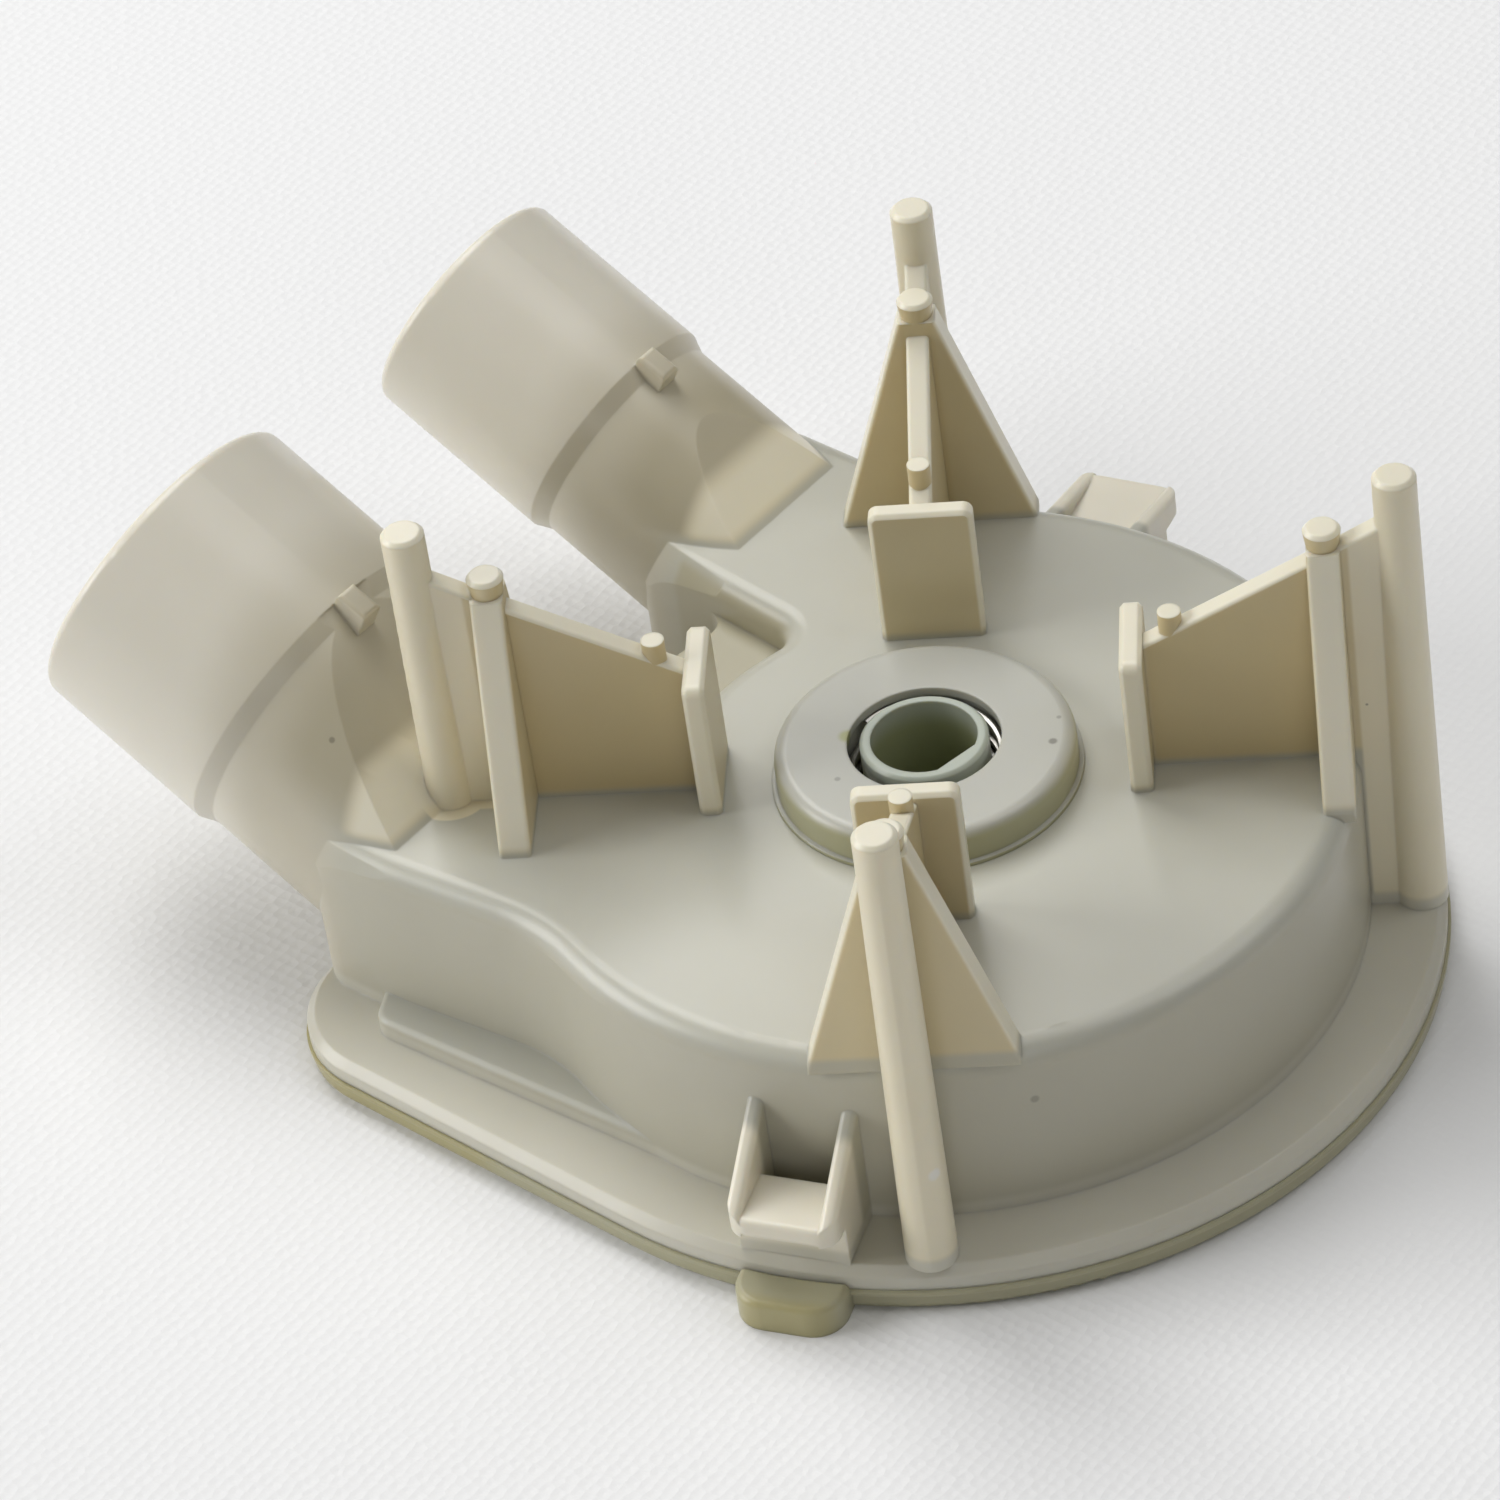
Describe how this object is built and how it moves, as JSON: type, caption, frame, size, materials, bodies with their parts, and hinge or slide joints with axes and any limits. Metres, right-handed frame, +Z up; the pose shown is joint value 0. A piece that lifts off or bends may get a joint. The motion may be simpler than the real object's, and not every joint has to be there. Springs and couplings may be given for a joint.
{
  "type": "washing machine drain pump",
  "caption": "Moulded washing machine drain pump with tilted inlet and outlet hose spigots, motor posts braced by webs, and a hollow impeller hub rising through a spring seal.",
  "frame": {"origin": "on the shaft axis at the cover's flat underside", "axes": "+Z up along the shaft towards the motor, +X towards the hose spigots, +Y on the inlet side"},
  "size_m": [0.1646, 0.1263, 0.0704],
  "materials": {
    "housing_plastic": "satin moulded",
    "cover_plastic": "satin moulded",
    "impeller_plastic": "satin moulded",
    "cap_plastic": "satin moulded",
    "spring_steel": "drawn wire",
    "washer_steel": "plain",
    "boot_rubber": "matt",
    "face_carbon": "lapped",
    "seat_ceramic": "lapped"
  },
  "bodies": {
    "housing": {"pump_housing": "housing_plastic", "bottom_cover": "cover_plastic", "seal_cap": "cap_plastic", "seal_spring": "spring_steel", "spring_washer": "washer_steel", "seal_boot": "boot_rubber", "seal_face_ring": "face_carbon"},
    "rotor": {"impeller": "impeller_plastic", "seal_seat_ring": "seat_ceramic"}
  },
  "joints": [
    {"name": "impeller_spin", "type": "hinge", "parent": "housing", "child": "rotor", "pos_m": [0, 0, 0.02], "axis": [0, 0, 1], "continuous": true}
  ]
}
